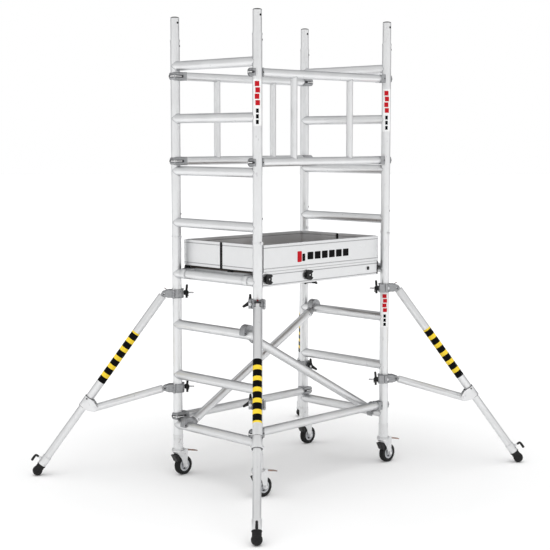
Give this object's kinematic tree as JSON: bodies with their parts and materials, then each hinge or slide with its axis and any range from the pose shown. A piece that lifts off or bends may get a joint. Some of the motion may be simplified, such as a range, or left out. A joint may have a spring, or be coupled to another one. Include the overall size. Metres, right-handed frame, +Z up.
{
  "type": "frame scaffold section",
  "caption": "Mobile aluminium frame scaffold with ladder end frames, guarded platform with toe boards, braked swivel casters and swing-out stabilisers.",
  "frame": {"origin": "on the floor under the middle of the tower", "axes": "+X along the platform, from the left end frame to the right one; +Y across it, from the front to the rear; +Z up"},
  "size_m": [2.1798, 1.7938, 2.505],
  "materials": {
    "aluminium_tube": "drawn satin",
    "aluminium_profile": "extruded satin",
    "cast_aluminium": "as cast",
    "zinc_steel": "zinc plated",
    "deck_panel": "phenolic film faced",
    "black_plastic": "moulded",
    "tyre_rubber": "moulded tread",
    "foot_rubber": "moulded",
    "pedal_paint": "red-orange paint, worn"
  },
  "bodies": {
    "tower": {"lower_frame_left": "aluminium_tube", "lower_frame_right": "aluminium_tube", "upper_frame_left": "aluminium_tube", "upper_frame_right": "aluminium_tube", "stile_spigots": "aluminium_tube", "interlock_pins": "zinc_steel", "guardrail_front": "aluminium_tube", "guardrail_rear": "aluminium_tube", "horizontal_braces": "aluminium_tube", "diagonal_braces": "aluminium_tube", "brace_claws": "cast_aluminium", "platform_frame": "aluminium_profile", "platform_deck": "deck_panel", "toe_boards": "aluminium_profile", "toe_board_hinges": "black_plastic", "caster_sockets": "zinc_steel"},
    "caster_front_left": {"caster_fork_front_left": "zinc_steel"},
    "wheel_front_left": {"caster_wheel_front_left": "tyre_rubber"},
    "pedal_front_left": {"brake_pedal_front_left": "pedal_paint"},
    "stabiliser_front_left": {"stabiliser_clamps_front_left": "cast_aluminium", "stabiliser_tube_front_left": "aluminium_tube", "stabiliser_strut_front_left": "aluminium_tube"},
    "foot_front_left": {"foot_stem_front_left": "aluminium_tube", "rubber_foot_front_left": "foot_rubber"},
    "pin_front_left": {"locking_pin_front_left": "zinc_steel"},
    "upper_nut_front_left": {"upper_wing_nut_front_left": "black_plastic"},
    "lower_nut_front_left": {"lower_wing_nut_front_left": "black_plastic"},
    "caster_front_right": {"caster_fork_front_right": "zinc_steel"},
    "wheel_front_right": {"caster_wheel_front_right": "tyre_rubber"},
    "pedal_front_right": {"brake_pedal_front_right": "pedal_paint"},
    "stabiliser_front_right": {"stabiliser_clamps_front_right": "cast_aluminium", "stabiliser_tube_front_right": "aluminium_tube", "stabiliser_strut_front_right": "aluminium_tube"},
    "foot_front_right": {"foot_stem_front_right": "aluminium_tube", "rubber_foot_front_right": "foot_rubber"},
    "pin_front_right": {"locking_pin_front_right": "zinc_steel"},
    "upper_nut_front_right": {"upper_wing_nut_front_right": "black_plastic"},
    "lower_nut_front_right": {"lower_wing_nut_front_right": "black_plastic"},
    "caster_rear_left": {"caster_fork_rear_left": "zinc_steel"},
    "wheel_rear_left": {"caster_wheel_rear_left": "tyre_rubber"},
    "pedal_rear_left": {"brake_pedal_rear_left": "pedal_paint"},
    "stabiliser_rear_left": {"stabiliser_clamps_rear_left": "cast_aluminium", "stabiliser_tube_rear_left": "aluminium_tube", "stabiliser_strut_rear_left": "aluminium_tube"},
    "foot_rear_left": {"foot_stem_rear_left": "aluminium_tube", "rubber_foot_rear_left": "foot_rubber"},
    "pin_rear_left": {"locking_pin_rear_left": "zinc_steel"},
    "upper_nut_rear_left": {"upper_wing_nut_rear_left": "black_plastic"},
    "lower_nut_rear_left": {"lower_wing_nut_rear_left": "black_plastic"},
    "caster_rear_right": {"caster_fork_rear_right": "zinc_steel"},
    "wheel_rear_right": {"caster_wheel_rear_right": "tyre_rubber"},
    "pedal_rear_right": {"brake_pedal_rear_right": "pedal_paint"},
    "stabiliser_rear_right": {"stabiliser_clamps_rear_right": "cast_aluminium", "stabiliser_tube_rear_right": "aluminium_tube", "stabiliser_strut_rear_right": "aluminium_tube"},
    "foot_rear_right": {"foot_stem_rear_right": "aluminium_tube", "rubber_foot_rear_right": "foot_rubber"},
    "pin_rear_right": {"locking_pin_rear_right": "zinc_steel"},
    "upper_nut_rear_right": {"upper_wing_nut_rear_right": "black_plastic"},
    "lower_nut_rear_right": {"lower_wing_nut_rear_right": "black_plastic"}
  },
  "joints": [
    {"name": "caster_swivel_front_left", "type": "hinge", "parent": "tower", "child": "caster_front_left", "pos_m": [-0.508, -0.315, 0.14], "axis": [0, 0, 1], "continuous": true},
    {"name": "caster_swivel_front_right", "type": "hinge", "parent": "tower", "child": "caster_front_right", "pos_m": [0.508, -0.315, 0.14], "axis": [0, 0, 1], "continuous": true},
    {"name": "caster_swivel_rear_left", "type": "hinge", "parent": "tower", "child": "caster_rear_left", "pos_m": [-0.508, 0.315, 0.14], "axis": [0, 0, 1], "continuous": true},
    {"name": "caster_swivel_rear_right", "type": "hinge", "parent": "tower", "child": "caster_rear_right", "pos_m": [0.508, 0.315, 0.14], "axis": [0, 0, 1], "continuous": true},
    {"name": "wheel_spin_front_left", "type": "hinge", "parent": "caster_front_left", "child": "wheel_front_left", "pos_m": [-0.473, -0.315, 0.0525], "axis": [0, 1, 0], "continuous": true},
    {"name": "wheel_spin_front_right", "type": "hinge", "parent": "caster_front_right", "child": "wheel_front_right", "pos_m": [0.543, -0.315, 0.0525], "axis": [0, 1, 0], "continuous": true},
    {"name": "wheel_spin_rear_left", "type": "hinge", "parent": "caster_rear_left", "child": "wheel_rear_left", "pos_m": [-0.473, 0.315, 0.0525], "axis": [0, 1, 0], "continuous": true},
    {"name": "wheel_spin_rear_right", "type": "hinge", "parent": "caster_rear_right", "child": "wheel_rear_right", "pos_m": [0.543, 0.315, 0.0525], "axis": [0, 1, 0], "continuous": true},
    {"name": "brake_pedal_front_left", "type": "hinge", "parent": "caster_front_left", "child": "pedal_front_left", "pos_m": [-0.465, -0.315, 0.138], "axis": [0, 1, 0], "range_deg": [-12, 0]},
    {"name": "brake_pedal_front_right", "type": "hinge", "parent": "caster_front_right", "child": "pedal_front_right", "pos_m": [0.551, -0.315, 0.138], "axis": [0, 1, 0], "range_deg": [-12, 0]},
    {"name": "brake_pedal_rear_left", "type": "hinge", "parent": "caster_rear_left", "child": "pedal_rear_left", "pos_m": [-0.465, 0.315, 0.138], "axis": [0, 1, 0], "range_deg": [-12, 0]},
    {"name": "brake_pedal_rear_right", "type": "hinge", "parent": "caster_rear_right", "child": "pedal_rear_right", "pos_m": [0.551, 0.315, 0.138], "axis": [0, 1, 0], "range_deg": [-12, 0]},
    {"name": "stabiliser_swing_front_left", "type": "hinge", "parent": "tower", "child": "stabiliser_front_left", "pos_m": [-0.508, -0.315, 0.7565], "axis": [0, 0, 1], "range_deg": [-45, 45]},
    {"name": "stabiliser_swing_front_right", "type": "hinge", "parent": "tower", "child": "stabiliser_front_right", "pos_m": [0.508, -0.315, 0.7565], "axis": [0, 0, 1], "range_deg": [-45, 45]},
    {"name": "stabiliser_swing_rear_left", "type": "hinge", "parent": "tower", "child": "stabiliser_rear_left", "pos_m": [-0.508, 0.315, 0.7565], "axis": [0, 0, 1], "range_deg": [-45, 45]},
    {"name": "stabiliser_swing_rear_right", "type": "hinge", "parent": "tower", "child": "stabiliser_rear_right", "pos_m": [0.508, 0.315, 0.7565], "axis": [0, 0, 1], "range_deg": [-45, 45]},
    {"name": "foot_extension_front_left", "type": "slide", "parent": "stabiliser_front_left", "child": "foot_front_left", "axis": [-0.4128, -0.4128, -0.8119], "range_m": [0, 0.25]},
    {"name": "foot_extension_front_right", "type": "slide", "parent": "stabiliser_front_right", "child": "foot_front_right", "axis": [0.4128, -0.4128, -0.8119], "range_m": [0, 0.25]},
    {"name": "foot_extension_rear_left", "type": "slide", "parent": "stabiliser_rear_left", "child": "foot_rear_left", "axis": [-0.4128, 0.4128, -0.8119], "range_m": [0, 0.25]},
    {"name": "foot_extension_rear_right", "type": "slide", "parent": "stabiliser_rear_right", "child": "foot_rear_right", "axis": [0.4128, 0.4128, -0.8119], "range_m": [0, 0.25]},
    {"name": "locking_pin_pull_front_left", "type": "slide", "parent": "stabiliser_front_left", "child": "pin_front_left", "axis": [-0.5741, -0.5741, 0.5838], "range_m": [0, 0.02]},
    {"name": "locking_pin_pull_front_right", "type": "slide", "parent": "stabiliser_front_right", "child": "pin_front_right", "axis": [0.5741, -0.5741, 0.5838], "range_m": [0, 0.02]},
    {"name": "locking_pin_pull_rear_left", "type": "slide", "parent": "stabiliser_rear_left", "child": "pin_rear_left", "axis": [-0.5741, 0.5741, 0.5838], "range_m": [0, 0.02]},
    {"name": "locking_pin_pull_rear_right", "type": "slide", "parent": "stabiliser_rear_right", "child": "pin_rear_right", "axis": [0.5741, 0.5741, 0.5838], "range_m": [0, 0.02]},
    {"name": "upper_wing_nut_turn_front_left", "type": "hinge", "parent": "stabiliser_front_left", "child": "upper_nut_front_left", "pos_m": [-0.50164, -0.25348, 1.019], "axis": [0.7071, 0.7071, 0], "continuous": true},
    {"name": "lower_wing_nut_turn_front_left", "type": "hinge", "parent": "stabiliser_front_left", "child": "lower_nut_front_left", "pos_m": [-0.50164, -0.25348, 0.494], "axis": [0.7071, 0.7071, 0], "continuous": true},
    {"name": "upper_wing_nut_turn_front_right", "type": "hinge", "parent": "stabiliser_front_right", "child": "upper_nut_front_right", "pos_m": [0.44648, -0.30864, 1.019], "axis": [-0.7071, 0.7071, 0], "continuous": true},
    {"name": "lower_wing_nut_turn_front_right", "type": "hinge", "parent": "stabiliser_front_right", "child": "lower_nut_front_right", "pos_m": [0.44648, -0.30864, 0.494], "axis": [-0.7071, 0.7071, 0], "continuous": true},
    {"name": "upper_wing_nut_turn_rear_left", "type": "hinge", "parent": "stabiliser_rear_left", "child": "upper_nut_rear_left", "pos_m": [-0.44648, 0.30864, 1.019], "axis": [0.7071, -0.7071, 0], "continuous": true},
    {"name": "lower_wing_nut_turn_rear_left", "type": "hinge", "parent": "stabiliser_rear_left", "child": "lower_nut_rear_left", "pos_m": [-0.44648, 0.30864, 0.494], "axis": [0.7071, -0.7071, 0], "continuous": true},
    {"name": "upper_wing_nut_turn_rear_right", "type": "hinge", "parent": "stabiliser_rear_right", "child": "upper_nut_rear_right", "pos_m": [0.50164, 0.25348, 1.019], "axis": [-0.7071, -0.7071, 0], "continuous": true},
    {"name": "lower_wing_nut_turn_rear_right", "type": "hinge", "parent": "stabiliser_rear_right", "child": "lower_nut_rear_right", "pos_m": [0.50164, 0.25348, 0.494], "axis": [-0.7071, -0.7071, 0], "continuous": true}
  ]
}
